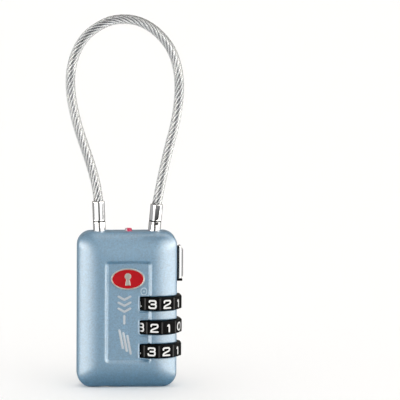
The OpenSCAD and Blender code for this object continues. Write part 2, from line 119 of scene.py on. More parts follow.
def add(tree, kind, values=None, **settings):
    """A shader node with its settings; values go to its inputs by name or index."""
    made = tree.nodes.new(kind)
    for name, value in settings.items():
        setattr(made, name, value)
    for name, value in (values or {}).items():
        feed(made.inputs[name], value)
    return made


def dress(shader, **values):
    """Sets or links the inputs of a shader."""
    for name, value in values.items():
        feed(shader.inputs[name.replace("_", " ")], value)


def maths(tree, operation, *values):
    return add(tree, "ShaderNodeMath", dict(enumerate(values)), operation=operation).outputs[0]


def ramp(tree, factor, stops, interpolation="LINEAR"):
    """A ramp over stops of (place, grey)."""
    made = add(tree, "ShaderNodeValToRGB", {0: factor})
    table = made.color_ramp
    table.interpolation = interpolation
    while len(table.elements) < len(stops):
        table.elements.new(0.5)
    for element, (place, tone) in zip(table.elements, stops):
        element.position = place
        element.color = (tone, tone, tone, 1)
    return made.outputs[0]


def coords(tree):
    return add(tree, "ShaderNodeTexCoord").outputs["Object"]


def split(tree, vector):
    return add(tree, "ShaderNodeSeparateXYZ", {0: vector}).outputs


def noise(tree, scale, detail=3.0, roughness=0.55):
    values = {"Vector": coords(tree), "Scale": scale, "Detail": detail, "Roughness": roughness}
    return add(tree, "ShaderNodeTexNoise", values).outputs[0]


def flakes(tree, scale):
    """A random grey for each small cell."""
    tone = add(tree, "ShaderNodeTexVoronoi", {"Vector": coords(tree), "Scale": scale}).outputs["Color"]
    return add(tree, "ShaderNodeRGBToBW", {0: tone}).outputs[0]


def mix(tree, factor, *tones):
    """A tone between two, each a colour or another node's output."""
    ends = (tone if isinstance(tone, bpy.types.NodeSocket) else (*tone, 1) for tone in tones)
    return add(tree, "ShaderNodeMix", dict(zip((0, 6, 7), (factor, *ends))), data_type="RGBA").outputs[2]


def blend(tree, factor, a, b):
    """A number between two."""
    return add(tree, "ShaderNodeMix", {0: factor, 2: a, 3: b}, data_type="FLOAT").outputs[0]


def spread(tree, value, low, high):
    """A 0..1 value stretched over a range."""
    return add(tree, "ShaderNodeMapRange", {"Value": value, "To Min": low, "To Max": high}).outputs[0]


def within(tree, value, low, high):
    """0 at low millimetres, 1 at high millimetres."""
    ends = {"Value": value, "From Min": low * MM, "From Max": high * MM}
    return add(tree, "ShaderNodeMapRange", ends).outputs[0]


def bump(tree, shader, height, distance, strength, under=None):
    """Raises a shader's surface by a height, over another bump if there is one."""
    values = {"Height": height, "Distance": distance, "Strength": strength}
    if under:
        values["Normal"] = under
    raised = add(tree, "ShaderNodeBump", values).outputs[0]
    dress(shader, Normal=raised)
    return raised


def start_material(**values):
    """A material, its node tree and its shader; it gets its name where it is listed or used."""
    made = bpy.data.materials.new("unnamed")
    made.use_nodes = True
    shader = made.node_tree.nodes["Principled BSDF"]
    dress(shader, **values)
    return made, made.node_tree, shader


# ---- materials

MOULDED_GRAIN = (2600, 5, 0.6)


def uneven(tree, tone, vary, scale, detail=3.0):
    """A tone that dips here and there by a share of itself."""
    return mix(tree, noise(tree, scale, detail), tuple(c * (1 - vary) for c in tone), tone)


def grain_skin(tree, shader, grain, rough, depth=0.00001, strength=0.35):
    """A fine noise that varies the polish and raises a slight grain."""
    dress(shader, Roughness=spread(tree, grain, *rough))
    bump(tree, shader, grain, depth, strength)


def paint_material(low, high):
    """Satin metallic paint: a soft pearl tone with fine flakes."""
    made, tree, shader = start_material(IOR=2.6, Coat_Weight=0.5, Coat_Roughness=0.34, Coat_IOR=1.5)
    flake = flakes(tree, 2700)
    lift = {0: mix(tree, noise(tree, 160), low, high), "Scale": spread(tree, flake, 0.74, 1.26)}
    tone = add(tree, "ShaderNodeVectorMath", lift, operation="SCALE").outputs[0]
    dress(shader, Base_Color=tone, Roughness=spread(tree, noise(tree, 900, 4), 0.38, 0.46))
    peel = bump(tree, shader, noise(tree, 700, 2), 0.00002, 0.5)
    bump(tree, shader, flake, 0.000014, 0.4, under=peel)
    return made


def metal_material(tone, rough, grain=2500, depth=0.000004, strength=0.4, vary=0.05):
    """Bare or plated metal: slightly uneven tone and polish, with a fine grain."""
    made, tree, shader = start_material(Metallic=1.0)
    dress(shader, Base_Color=uneven(tree, tone, vary, 300, 4))
    grain_skin(tree, shader, noise(tree, grain, 4), rough, depth, strength)
    return made


def plastic_material(tone, rough, shine=0.5, vary=0.12):
    """Moulded plastic or baked paint with a fine grained skin."""
    made, tree, shader = start_material(IOR=1.5, Specular_IOR_Level=shine)
    dress(shader, Base_Color=uneven(tree, tone, vary, 500))
    grain_skin(tree, shader, noise(tree, *MOULDED_GRAIN), rough)
    return made


def wheel_material():
    """Dial plastic: near-black pads, with the tops of the ribs painted greyer as a painted highlight, and
    glossier.
    """
    made, tree, shader = start_material(IOR=1.5)
    x, y, _ = split(tree, coords(tree))
    x = maths(tree, "SUBTRACT", x, DIAL_X * MM)
    away = maths(tree, "SQRT", maths(tree, "ADD", maths(tree, "MULTIPLY", x, x), maths(tree, "MULTIPLY", y, y)))
    # Rib tops get a greyer tone, a painted highlight for the light the ribs catch, and a higher specular level
    rib_top_highlight = within(tree, away, PAD_R + 0.13, PAD_R + 0.2)
    pad = mix(tree, noise(tree, 500), (0.0026, 0.0025, 0.0026), (0.003, 0.0029, 0.003))
    rib = mix(tree, noise(tree, 1500), (0.015, 0.015, 0.0155), (0.03, 0.03, 0.031))
    dress(shader, Base_Color=mix(tree, rib_top_highlight, pad, rib), Specular_IOR_Level=spread(tree, rib_top_highlight, 0.03, 0.25))
    grain_skin(tree, shader, noise(tree, *MOULDED_GRAIN), (0.26, 0.36))
    return made


def indicator_material():
    """Red moulded pin with a light stripe down its left side, which is a painted highlight."""
    made, tree, shader = start_material(IOR=1.5)
    x = split(tree, coords(tree))[0]
    red = mix(tree, noise(tree, 500), (0.62, 0.022, 0.09), (0.74, 0.028, 0.11))
    # The stripe is a painted highlight: a pink-grey tone where the round pin would mirror the bright side box
    painted_highlight_tone = mix(tree, noise(tree, 900), (0.5, 0.4, 0.43), (0.58, 0.47, 0.5))
    past_painted_highlight = within(tree, x, INDICATOR_X - 0.52, INDICATOR_X - 0.36)
    dress(shader, Base_Color=mix(tree, past_painted_highlight, painted_highlight_tone, red))
    grain_skin(tree, shader, noise(tree, *MOULDED_GRAIN), (0.25, 0.36))
    return made


def enamel_material(tone, deep):
    """Hard glass-like enamel over metal, in two mingled depths of its colour."""
    made, tree, shader = start_material(IOR=1.5, Specular_IOR_Level=0.12, Coat_Weight=0.12, Coat_Roughness=0.08)
    swirl = noise(tree, 380, 5, 0.6)
    dress(shader, Base_Color=mix(tree, swirl, deep, tone), Roughness=spread(tree, noise(tree, 900), 0.16, 0.26))
    bump(tree, shader, swirl, 0.00001, 0.25)
    return made


def jacket_material():
    """Clear soft plastic with a faintly uneven extruded skin."""
    made, tree, shader = start_material(Transmission_Weight=1.0, IOR=1.46)
    dress(shader, Base_Color=mix(tree, noise(tree, 140), (0.955, 0.965, 0.97), (0.985, 0.99, 0.992)))
    grain_skin(tree, shader, noise(tree, 420), (0.02, 0.09), 0.000012, 0.3)
    return made


MATERIALS = {
    "body_paint": paint_material((0.067, 0.202, 0.335), (0.077, 0.221, 0.362)),
    "die_cast": metal_material((0.5, 0.51, 0.52), (0.42, 0.6), 1400, depth=0.00003, vary=0.15),
    "dial_black": plastic_material((0.003, 0.0029, 0.003), (0.26, 0.36), shine=0.04),
    "dial_wheel": wheel_material(),
    "brass": metal_material((0.78, 0.57, 0.28), (0.24, 0.4)),
    "steel": metal_material((0.62, 0.63, 0.64), (0.26, 0.4)),
    "spring_steel": metal_material((0.68, 0.68, 0.67), (0.2, 0.34)),
    "chrome": metal_material((0.84, 0.845, 0.855), (0.04, 0.08), depth=0.0000005, strength=0.1, vary=0.03),
    "rope_steel": metal_material((0.715, 0.735, 0.77), (0.2, 0.3), 1800, depth=0.000002, vary=0.1),
    # Near-black rope core: painted shade for the gaps between the strands
    "rope_core_painted_shade": plastic_material((0.03, 0.03, 0.03), (0.5, 0.7), shine=0.2),
    "clear_jacket": jacket_material(),
    "badge_enamel": enamel_material((0.55, 0.012, 0.018), (0.32, 0.005, 0.01)),
    "badge_metal": metal_material((0.74, 0.73, 0.7), (0.26, 0.38), 1800),
    "indicator_red": indicator_material(),
    "digit_white": plastic_material((0.86, 0.86, 0.85), (0.3, 0.42), vary=0.05),
    # The index mark's light tone is a painted highlight for its embossed edges
    "mark_painted_highlight": plastic_material((0.52, 0.64, 0.72), (0.35, 0.5), shine=0.3),
    "silver_print": metal_material((0.55, 0.6, 0.66), (0.36, 0.5), 3000),
}
for label, finish in MATERIALS.items():
    finish.name = label


# ---- pieces

def place_mesh(name, mesh):
    made = bpy.data.objects.new(name, mesh)
    bpy.context.scene.collection.objects.link(made)
    return made


def make_piece(name, solid, material, body, replaces=(), slot="", flat=False):
    """A piece of (points in millimetres, faces), attached to its body if it has one.

    The slot argument is not used.
    """
    mesh = bpy.data.meshes.new(name)
    points, faces = solid
    mesh.from_pydata((np.asarray(points, float) * MM).tolist(), [], [tuple(map(int, face)) for face in faces])
    mesh.validate()
    if not flat:
        mesh.polygons.foreach_set("use_smooth", [True] * len(mesh.polygons))
    mesh.update()
    mesh.materials.append(MATERIALS[material])
    made = place_mesh(name, mesh)
    if body:
        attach(made, body)
    if slot is not None:
        slot or material
    if replaces:
        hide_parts(*replaces)
    return made


# ---- solids from distance fields

def smooth_max(a, b, k):
    h = np.clip(0.5 + 0.5 * (a - b) / k, 0, 1)
    return b + (a - b) * h + k * h * (1 - h)


def smooth_min(a, b, k):
    return -smooth_max(-a, -b, k)


def rounded_rect(x, z, half_w, half_h, r):
    qx, qz = np.abs(x) - (half_w - r), np.abs(z) - (half_h - r)
    return np.hypot(np.maximum(qx, 0), np.maximum(qz, 0)) + np.minimum(np.maximum(qx, qz), 0) - r


def neighbours(axis):
    """Slices that set every grid point against the next one along an axis, and the other two axes."""
    low, high = [slice(None)] * 3, [slice(None)] * 3
    low[axis], high[axis] = slice(0, -1), slice(1, None)
    return tuple(low), tuple(high), [d for d in range(3) if d != axis]


def surface_net(field, xs, ys, zs):
    """Quads on the zero surface of a distance field, sampled on grid lines and then moved exactly onto it."""
    grid = np.stack(np.meshgrid(xs, ys, zs, indexing="ij"), -1)
    value = field(grid.reshape(-1, 3)).reshape(grid.shape[:3])
    inside = value < 0
    limits = np.array(value.shape) - 1
    total, count = np.zeros((*limits, 3)), np.zeros(limits)
    for axis in range(3):
        low, high, others = neighbours(axis)
        crossing = inside[low] != inside[high]
        where = np.argwhere(crossing)
        a, b = value[low][crossing], value[high][crossing]
        t = (a / (a - b))[:, None]
        points = grid[low][crossing] * (1 - t) + grid[high][crossing] * t
        for shift in ((0, 0), (0, 1), (1, 0), (1, 1)):
            cell = where.copy()
            cell[:, others] -= shift
            ok = ((cell >= 0) & (cell < limits)).all(1)
            np.add.at(total, tuple(cell[ok].T), points[ok])
            np.add.at(count, tuple(cell[ok].T), 1)
    active = count > 0
    index = np.full(limits, -1, np.int64)
    index[active] = np.arange(active.sum())
    verts = total[active] / count[active][:, None]
    quads = []
    for axis in range(3):
        low, high, others = neighbours(axis)
        where = np.argwhere(inside[low] != inside[high])
        where = where[((where[:, others] > 0) & (where[:, others] < limits[others])).all(1)]
        corners = []
        for shift in ((1, 1), (0, 1), (0, 0), (1, 0)):
            cell = where.copy()
            cell[:, others] -= shift
            corners.append(index[tuple(cell.T)])
        quad = np.stack(corners, 1)
        outward = inside[low][tuple(where.T)] != (axis == 1)
        quad[~outward] = quad[~outward][:, ::-1]
        quads.append(quad)
    step, limit = 1e-3, 0.35 * np.diff(xs).max()
    for _ in range(3):
        rises = [field(verts + push) - field(verts - push) for push in step * np.eye(3)]
        slope = np.stack(rises, 1) / (2 * step)
        size = np.maximum((slope ** 2).sum(1), 0.25)
        move = -(field(verts) / size)[:, None] * slope
        reach = np.linalg.norm(move, axis=1)
        verts = verts + move * np.minimum(1, limit / np.maximum(reach, 1e-9))[:, None]
    return verts, np.concatenate(quads)


def lines(low, high, step, marks=(), fine=0.08, reach=0.32):
    """Evenly spaced grid lines, closer together around each mark."""
    even = np.linspace(low, high, int(round((high - low) / step)) + 1)
    if not marks:
        return even
    near = np.concatenate([np.arange(m - reach, m + reach + 1e-9, fine) for m in marks])
    near = np.unique(np.round(near, 6))
    near = near[np.concatenate([[True], np.diff(near) > fine * 0.5])]
    clear = np.abs(even[:, None] - near[None, :]).min(1) > fine * 0.6
    return np.sort(np.concatenate([even[clear], near]))


# ---- casing

def crown_inset(x, z):
    """How far a point lies in from the outline, along rings whose corners tighten inward."""
    ax, az = np.abs(x), np.abs(z - MID_Z)
    straight = np.minimum(BODY_W / 2 - ax, BODY_H / 2 - az)
    tighten = (CORNER_R - PANEL_R) / CROWN_RUN
    grow = 1 - tighten
    a, b = ax - BODY_W / 2 + CORNER_R, az - BODY_H / 2 + CORNER_R
    qa = 2 * grow ** 2 - tighten ** 2
    qb = 2 * grow * (a + b) + 2 * CORNER_R * tighten
    qc = a ** 2 + b ** 2 - CORNER_R ** 2
    corner = (-qb + np.sqrt(np.maximum(qb ** 2 - 4 * qa * qc, 0))) / (2 * qa)
    in_corner = (a + grow * corner > 0) & (b + grow * corner > 0) & (corner <= straight)
    return np.where(in_corner, corner, straight)


def crown_field(y, inset):
    run, rise = CROWN_RUN, HALF_T - HALF_BAND
    u = (run - np.minimum(inset, run)) / run
    v = np.maximum(np.abs(y) - HALF_BAND, 0) / rise
    level = np.hypot(u, v)
    slope = np.sqrt((u / run) ** 2 + (v / rise) ** 2)
    ratio = np.where(level > 1e-3, level / np.maximum(slope, 1e-6), rise)
    return np.where(np.abs(y) > HALF_BAND, (level - 1) * ratio, np.maximum(-inset, -rise))


def recess_field(x, y, z):
    side = rounded_rect(x - PANEL_X, z - PANEL_Z, PANEL_W / 2, PANEL_H / 2, PANEL_R)
    lean = PANEL_SLOPE / PANEL_DEPTH
    walls = (side + (HALF_T - np.abs(y)) * lean) / math.hypot(1, lean)
    return smooth_max(walls, (HALF_T - PANEL_DEPTH) - np.abs(y), 0.1)


def leaning_hole(p, post, r):
    """The post's hole, down to 4 mm under the casing's top."""
    x0, turn = post[0], math.radians(post[1])
    across = (p[:, 0] - x0) * math.cos(turn) - (p[:, 2] - BODY_H) * math.sin(turn)
    along = (p[:, 0] - x0) * math.sin(turn) + (p[:, 2] - BODY_H) * math.cos(turn)
    return np.maximum(np.hypot(across, p[:, 1]) - r, -along - 4)


def cover_field(p):
    """The casing: a hollow crowned shell with its panel, windows, lips and openings."""
    x, y, z = p[:, 0], p[:, 1], p[:, 2]
    shell = crown_field(y, crown_inset(x, z))
    outer = smooth_max(shell, -recess_field(x, y, z), 0.3)
    body = smooth_max(outer, -(shell + WALL), 0.15)
    for zc in DIAL_ZS:
        window = smooth_max(np.hypot(x - DIAL_X, y) - WINDOW_R, np.abs(z - zc) - WINDOW_T / 2, 0.12)
        body = smooth_max(body, -window, 0.5)
        # A raised lip around the window's left end, which fades out before the dial's middle
        reach = 10
        mouth = rounded_rect(x - WINDOW_X - reach, z - zc, reach, WINDOW_T / 2, 0.3)
        lip = smooth_max(np.hypot(mouth - LIP_OUT, outer) - LIP_R, x - LIP_END, 0.4)
        body = smooth_min(body, lip, 0.06)
    for post in (FIXED_POST, FREE_POST):
        body = smooth_max(body, -leaning_hole(p, post, POST_R + POST_GAP), 0.12)
    pin = np.maximum(np.hypot(x - INDICATOR_X, y) - INDICATOR_R - 0.1, 40 - z)
    body = smooth_max(body, -pin, 0.2)
    key = np.maximum(np.hypot(x - KEY_X, y) - KEY_HOLE_R, z - KEY_HOLE_TOP)
    body = smooth_max(body, -key, 0.3)
    slot = np.maximum(rounded_rect(y, z - SLOT_Z, SLOT_HALF_W, SLOT_HALF_H, 0.4), 12 - x)
    return smooth_max(body, -slot, 0.2)


def make_covers():
    """The front and back casings, which meet with a fine seam at the parting line."""
    step = 0.22
    left, right = PANEL_X - PANEL_W / 2, PANEL_X + PANEL_W / 2
    bottom, top = PANEL_Z - PANEL_H / 2, PANEL_Z + PANEL_H / 2
    marks_x = [left, left + PANEL_SLOPE, right - PANEL_SLOPE, right, WINDOW_X, WINDOW_X - 2 * LIP_OUT]
    marks_z = [bottom, bottom + PANEL_SLOPE, top - PANEL_SLOPE, top]
    marks_z += [z + end * WINDOW_T / 2 for z in DIAL_ZS for end in (-1, 1)]
    xs = lines(-BODY_W / 2 - 0.5, BODY_W / 2 + 0.5, step, marks_x)
    zs = lines(-0.5, BODY_H + 0.5, step, marks_z)
    for name, back, low, high in (("front", -1, -HALF_T - 0.4, PARTING_Y + 0.5),
                                  ("back", 1, PARTING_Y - 0.5, HALF_T + 0.4)):
        def half(p):
            return smooth_max(cover_field(p), back * (PARTING_Y + back * PARTING_GAP - p[:, 1]), 0.22)

        make_piece(f"casing_{name}", surface_net(half, xs, lines(low, high, step), zs), "body_paint", "case",
                   [f"{name}_cover"])


# ---- turned parts

def arc(cx, cz, r, start, end, steps):
    return [(cx + r * math.cos(math.radians(start + (end - start) * i / steps)),
             cz + r * math.sin(math.radians(start + (end - start) * i / steps))) for i in range(steps + 1)]


def lathe(profile, segments, place):
    """Turns a profile of (radius, height) that starts and ends on the axis or forms a closed loop."""
    points, faces, rings = [], [], []
    turns = [2 * math.pi * i / segments for i in range(segments)]
    for r, h in profile:
        start = len(points)
        if r:
            points += [(r * math.cos(t), r * math.sin(t), h) for t in turns]
        else:
            points.append((0, 0, h))
        rings.append(range(start, len(points)))
    pairs = list(zip(rings, rings[1:]))
    if profile[0][0] and profile[-1][0]:
        pairs.append((rings[-1], rings[0]))
    for a, b in pairs:
        for i in range(segments):
            j = (i + 1) % segments
            if len(a) == 1:
                faces.append((a[0], b[j], b[i]))
            elif len(b) == 1:
                faces.append((a[i], a[j], b[0]))
            else:
                faces.append((a[i], a[j], b[j], b[i]))
    return place(np.array(points)), faces


def on_post(post):
    """Puts points made around an upright axis onto a post."""
    x0, turn = post[0], math.radians(post[1])

    def place(points):
        x, z = points[:, 0], points[:, 2]
        return np.stack([x * math.cos(turn) + z * math.sin(turn) + x0, points[:, 1],
                         -x * math.sin(turn) + z * math.cos(turn) + BODY_H], 1)
    return place


def ferrule_profile(top):
    """Crimped sleeve: soft bottom edge, a rolled mouth and the bore that holds the cable."""
    r, bore, bottom = POST_R, CABLE_D / 2 + 0.12, FERRULE_LOW
    mouth_r, lip_r = 0.22, 0.08
    return ([(0, bottom), (r - POST_EDGE, bottom)]
            + arc(r - POST_EDGE, bottom + POST_EDGE, POST_EDGE, -90, 0, 4)[1:]
            + [(r, bottom + 0.5), (r, top - 2.0), (r, top - 0.3)]
            + arc(r - mouth_r, top - mouth_r, mouth_r, 0, 90, 5)[1:]
            + [(bore + lip_r, top)] + arc(bore + lip_r, top - lip_r, lip_r, 90, 180, 3)[1:]
            + [(bore, top - 2), (bore, top - 4.4), (0, top - 4.4)])


def stud_profile(bottom, groove=None):
    """Round stud; the plug has a pointed end and a groove, given as its low, high and neck radius."""
    r = POST_R
    lower = [(0, bottom), (r - 0.35, bottom), (r - 0.1, bottom + 0.12), (r, bottom + 0.35)]
    if groove:
        low, high, neck = groove
        lower = [(0, bottom), (r - 0.45, bottom), (r - 0.35, bottom + 0.06), (r - 0.03, bottom + 0.32),
                 (r, bottom + 0.5), (neck + 0.08, low - 0.1), (neck, low), (neck, high),
                 (r - 0.12, high), (r, high + 0.12)]
    shoulder = STUD_TOP - POST_EDGE
    return (lower + [(r, 0), (r, shoulder)] + arc(r - POST_EDGE, shoulder, POST_EDGE, 0, 90, 4)[1:]
            + [(0, STUD_TOP)])


def make_posts():
    """Studs and ferrules of both posts, each pair with a dark ring in the seam between them, which paints in the
    seam's shade.
    """
    # A near-black ring as painted shade in each seam
    seam = [(POST_R - deep, height) for deep, height in
            ((0.4, SEAM_LOW), (0.06, SEAM_LOW), (0.06, SEAM_HIGH), (0.4, SEAM_HIGH))]
    for name, profile, post, body, finish, nodes in (
        ("ferrule_fixed", ferrule_profile(FIXED_TOP), FIXED_POST, "case", "chrome", ["fixed_ferrule"]),
        ("stud_fixed", stud_profile(STUD_LOW), FIXED_POST, "case", "chrome", ["fixed_post"]),
        ("ferrule_free", ferrule_profile(FREE_TOP), FREE_POST, "shackle_end", "chrome", ["free_ferrule"]),
        ("plug_free", stud_profile(PLUG_LOW, LATCH_GROOVE), FREE_POST, "shackle_end", "chrome",
         ["release_plug"]),
        ("seam_shade_ring_fixed", seam, FIXED_POST, "case", "dial_black", ()),
        ("seam_shade_ring_free", seam, FREE_POST, "shackle_end", "dial_black", ()),
    ):
        make_piece(name, lathe(profile, 72, on_post(post)), finish, body, nodes)


# ---- cable

def spline(route, step):
    """Evenly spaced points of a smooth curve through the route, in the XZ plane."""
    p = np.array(route, float)
    p = np.vstack([2 * p[0] - p[1], p, 2 * p[-1] - p[-2]])
    out = []
    for k in range(1, len(p) - 2):
        t = np.linspace(0, 1, 24, endpoint=False)[:, None]
        out.append(0.5 * (2 * p[k] + (p[k + 1] - p[k - 1]) * t
                          + (2 * p[k - 1] - 5 * p[k] + 4 * p[k + 1] - p[k + 2]) * t ** 2
                          + (3 * p[k] - p[k - 1] - 3 * p[k + 1] + p[k + 2]) * t ** 3))
    out.append(p[-2][None])
    dense = np.vstack(out)
    run = np.concatenate([[0], np.cumsum(np.linalg.norm(np.diff(dense, axis=0), axis=1))])
    places = np.linspace(0, run[-1], int(round(run[-1] / step)) + 1)
    x, z = (np.interp(places, run, dense[:, i]) for i in range(2))
    return np.stack([x, np.zeros_like(x), z], 1), places


def unit(vectors):
    return vectors / np.linalg.norm(vectors, axis=1)[:, None]


def circle(count, r=1.0):
    turn = np.linspace(0, 2 * np.pi, count, endpoint=False)
    return np.stack([np.cos(turn), np.sin(turn)], 1) * r


def join(parts):
    """One set of points and faces from several."""
    points, faces, offset = [], [], 0
    for part_points, part_faces in parts:
        points.append(part_points)
        faces += [[v + offset for v in face] for face in part_faces]
        offset += len(part_points)
    return np.vstack(points), faces


def tube(path, side, across, section):
    """Closed tube; section is its outline points (a, b), or gives them for each path point."""
    rings = []
    for k, centre in enumerate(path):
        ab = section(k) if callable(section) else section
        rings.append(centre + ab[:, :1] * side[k] + ab[:, 1:] * across[k])
    n = len(rings[0])
    points = np.vstack(rings + [path[:1], path[-1:]])
    first, last, end = len(path) * n, len(path) * n + 1, (len(path) - 1) * n
    pairs = [(i, (i + 1) % n) for i in range(n)]
    faces = [(start + i, start + j, start + n + j, start + n + i) for start in range(0, end, n) for i, j in pairs]
    for i, j in pairs:
        faces += [(first, j, i), (last, end + i, end + j)]
    return points, faces


def make_strand(path, side, across, places, phase):
    """One strand of the rope: it winds around the core, and its wires wind around it."""
    orbit = ROPE_D / 2 - STRAND_R
    turn = phase + 2 * np.pi * places / STRAND_LAY
    centre = path + orbit * (np.cos(turn)[:, None] * side + np.sin(turn)[:, None] * across)
    forward = unit(np.gradient(centre, axis=0))
    out = unit(np.cross(across, forward))
    wire_turn = 2 * np.pi * places / WIRE_LAY
    around = np.linspace(0, 2 * np.pi, 24, endpoint=False)

    def section(k):
        wires = np.abs(np.cos(0.5 * STRANDS * (around + wire_turn[k]))) ** 0.7
        return STRAND_R * (0.96 + 0.04 * wires)[:, None] * circle(24)

    return tube(centre, out, np.cross(forward, out), section)


def make_cable():
    """A clear jacket over six strands and their core, looping from the case to the plug."""
    path, places = spline(ROUTE, 0.45)
    across = np.tile([0.0, 1.0, 0.0], (len(path), 1))
    side = np.cross(across, unit(np.gradient(path, axis=0)))
    jacket = make_piece("jacket", tube(path, side, across, circle(28, CABLE_D / 2 - JACKET_GAP)),
                        "clear_jacket", None, ["cable_jacket"])
    laid = [make_strand(path, side, across, places, k * 2 * np.pi / STRANDS) for k in range(STRANDS)]
    strands = make_piece("rope_strands", join(laid), "rope_steel", None, ["wire_rope"])
    # The near-black core paints in the shade between the strands
    core = make_piece("rope_core", tube(path, side, across, circle(24, ROPE_D / 2 - STRAND_R - 0.08)),
                      "rope_core_painted_shade", None, slot="rope_steel")
    for made in (jacket, strands, core):
        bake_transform(made)


# ---- flat shapes cut from lines and outlines

def chaikin(points, rounds):
    """Rounds the corners of a line, or of a loop that ends where it starts."""
    p = np.array(points, float)
    closed = points[0] == points[-1]
    if closed:
        p = p[:-1]
    for _ in range(rounds):
        q = np.roll(p, -1, 0) if closed else p[1:]
        base = p if closed else p[:-1]
        cut = np.stack([0.75 * base + 0.25 * q, 0.25 * base + 0.75 * q], 1).reshape(-1, 2)
        p = cut if closed else np.vstack([p[:1], cut[1:-1], p[-1:]])
    return np.vstack([p, p[:1]]) if closed else p


def line_distance(q, path):
    """Distance from each point to the nearest part of a poly-line."""
    best = np.full(len(q), np.inf)
    for a, b in zip(path[:-1], path[1:]):
        ab = b - a
        t = np.clip(((q - a) @ ab) / max(ab @ ab, 1e-12), 0, 1)
        best = np.minimum(best, np.linalg.norm(q - a - t[:, None] * ab, axis=1))
    return best


def stroke_field(paths, half):
    """Signed distance to a set of poly-lines drawn with a round pen."""
    def field(q):
        return np.min([line_distance(q, np.asarray(path, float)) for path in paths], axis=0) - half
    return field


def polygon_field(corners):
    """Signed distance to a closed polygon."""
    p = np.array([*corners, corners[0]], float)

    def field(q):
        best = line_distance(q, p)
        inside = np.zeros(len(q), bool)
        for a, b in zip(p, p[1:]):
            if a[1] != b[1]:
                cross = (a[1] > q[:, 1]) != (b[1] > q[:, 1])
                xs = a[0] + (q[:, 1] - a[1]) * (b[0] - a[0]) / (b[1] - a[1])
                inside ^= cross & (q[:, 0] < xs)
        return np.where(inside, -best, best)
    return field


def cut_plate(field, low, high, step):
    """Polygons that fill a 2D field's inside: (points, faces, outline edges)."""
    nx, nz = (int(math.ceil((high[i] - low[i]) / step)) for i in range(2))
    xs, zs = low[0] + step * np.arange(nx + 1), low[1] + step * np.arange(nz + 1)
    grid = np.stack(np.meshgrid(xs, zs, indexing="ij"), -1)
    value = field(grid.reshape(-1, 2)).reshape(grid.shape[:2])
    value = np.where(np.abs(value) < 1e-4, -1e-4, value)
    points, ids, faces = [], {}, []

    def number(key, point):
        """The number of a point, added when it is first asked for."""
        if key not in ids:
            ids[key] = len(points)
            points.append(point)
        return ids[key]

    def between(a, b):
        a, b = min(a, b), max(a, b)
        t = np.clip(value[a] / (value[a] - value[b]), 0.06, 0.94)
        return number((a, b), grid[a] + (grid[b] - grid[a]) * t)

    for i in range(nx):
        for j in range(nz):
            loop = [(i, j), (i + 1, j), (i + 1, j + 1), (i, j + 1)]
            if all(value[c] > 0 for c in loop):
                continue
            face = []
            for a, b in zip(loop, loop[1:] + loop[:1]):
                if value[a] < 0:
                    face.append(number(a, grid[a]))
                if (value[a] < 0) != (value[b] < 0):
                    face.append(between(a, b))
            if len(face) > 2:
                faces.append(face)
    edges = dict.fromkeys(edge for face in faces for edge in zip(face, face[1:] + face[:1]))
    return np.array(points), faces, [(a, b) for a, b in edges if (b, a) not in edges]


def plate_solid(plate, place, bottom, top, edge=0.0):
    """Thickness for a cut plate: place(points2, height) puts it in space; its top edge is eased by edge."""
    points, faces, outline = plate
    n = len(points)
    heights = np.full(n, float(top))
    heights[sorted({v for pair in outline for v in pair})] -= edge
    upper, lower = place(points, heights), place(points, np.full(n, bottom))
    all_faces = [list(f) for f in faces]
    all_faces += [[v + n for v in reversed(f)] for f in faces]
    all_faces += [[b, a, a + n, b + n] for a, b in outline]
    return np.vstack([upper, lower]), all_faces


# ---- dials

# The lines of each digit; one that ends where it starts is a loop
DIGITS = {
    0: [[(-1.05, 1.17), (1.05, 1.17), (1.05, -1.17), (-1.05, -1.17), (-1.05, 1.17)]],
    1: [[(-0.42, 0.66), (0.1, 1.17), (0.1, -1.17)]],
    2: [[(-1.02, 0.6), (-0.98, 1.17), (0.2, 1.17), (1.05, 1.17), (1.05, 0.2), (0.1, -0.1), (-1.0, -0.62),
         (-1.08, -1.17)], [(-1.08, -1.17), (1.1, -1.17)]],
    3: [[(-1.0, 0.78), (-0.95, 1.17), (0.1, 1.17), (1.02, 1.17), (1.02, 0.06), (0.1, 0.06), (-0.35, 0.06)],
        [(-0.35, 0.06), (0.2, 0.06), (1.08, 0.06), (1.08, -1.17), (0.1, -1.17), (-1.0, -1.17), (-1.08, -0.72)]],
    4: [[(0.2, -1.17), (0.2, 1.17), (-1.1, -0.7)], [(-1.1, -0.78), (0.72, -0.78)]],
    5: [[(0.98, 1.17), (-0.9, 1.17)], [(-0.9, 1.17), (-1.0, 0.16)],
        [(-1.0, 0.16), (0.2, 0.24), (1.08, 0.2), (1.08, -1.17), (0.1, -1.17), (-1.0, -1.17), (-1.08, -0.76)]],
    6: [[(0.95, 1.0), (0.6, 1.2), (-1.05, 1.2), (-1.05, -1.17), (1.05, -1.17), (1.05, 0.22), (-0.2, 0.22),
         (-1.0, 0.0)]],
    7: [[(-1.05, 1.17), (1.08, 1.17)], [(1.08, 1.17), (0.1, 0.1), (-0.2, -1.17)]],
    8: [[(-0.95, 1.17), (0.95, 1.17), (0.95, 0.07), (-0.95, 0.07), (-0.95, 1.17)],
        [(-1.08, 0.07), (1.08, 0.07), (1.08, -1.17), (-1.08, -1.17), (-1.08, 0.07)]],
    9: [[(-0.95, -1.0), (-0.6, -1.2), (1.05, -1.2), (1.05, 1.17), (-1.05, 1.17), (-1.05, -0.22), (0.2, -0.22),
         (1.0, 0.0)]],
}
DIGIT_PEN, DIGIT_BOX = 0.26, ((-1.45, -1.55), (1.45, 1.55))
# How far each dial is turned from a digit that faces the dial side, in degrees
DIAL_TURNS = (1.5, -28.0, 3.2)


